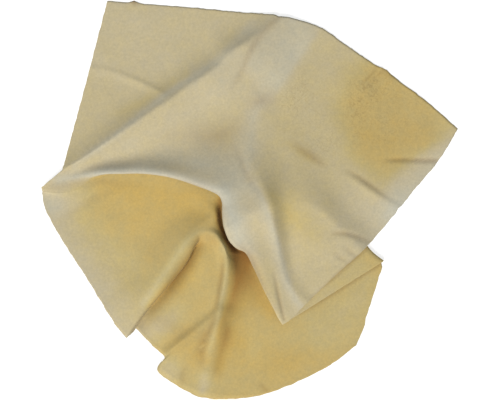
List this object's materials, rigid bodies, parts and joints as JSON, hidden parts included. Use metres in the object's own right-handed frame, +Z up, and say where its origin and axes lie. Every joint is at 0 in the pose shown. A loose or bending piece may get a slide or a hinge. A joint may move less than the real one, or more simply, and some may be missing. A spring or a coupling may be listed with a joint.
{
  "type": "chamois leather",
  "caption": "Soft cut chamois skin for drying and polishing, lying in loose folds that swirl around a raised hump.",
  "frame": {"origin": "centre of the lying skin's bounding box, on the table", "axes": "+Z up from the table, +X to the right and +Y away from a person who looks down at the skin"},
  "size_m": [0.478, 0.458, 0.0456],
  "materials": {
    "chamois": "soft napped suede, oil-tanned, undyed cream to ochre"
  },
  "bodies": {
    "root": {"chamois_skin": "chamois"}
  },
  "joints": []
}
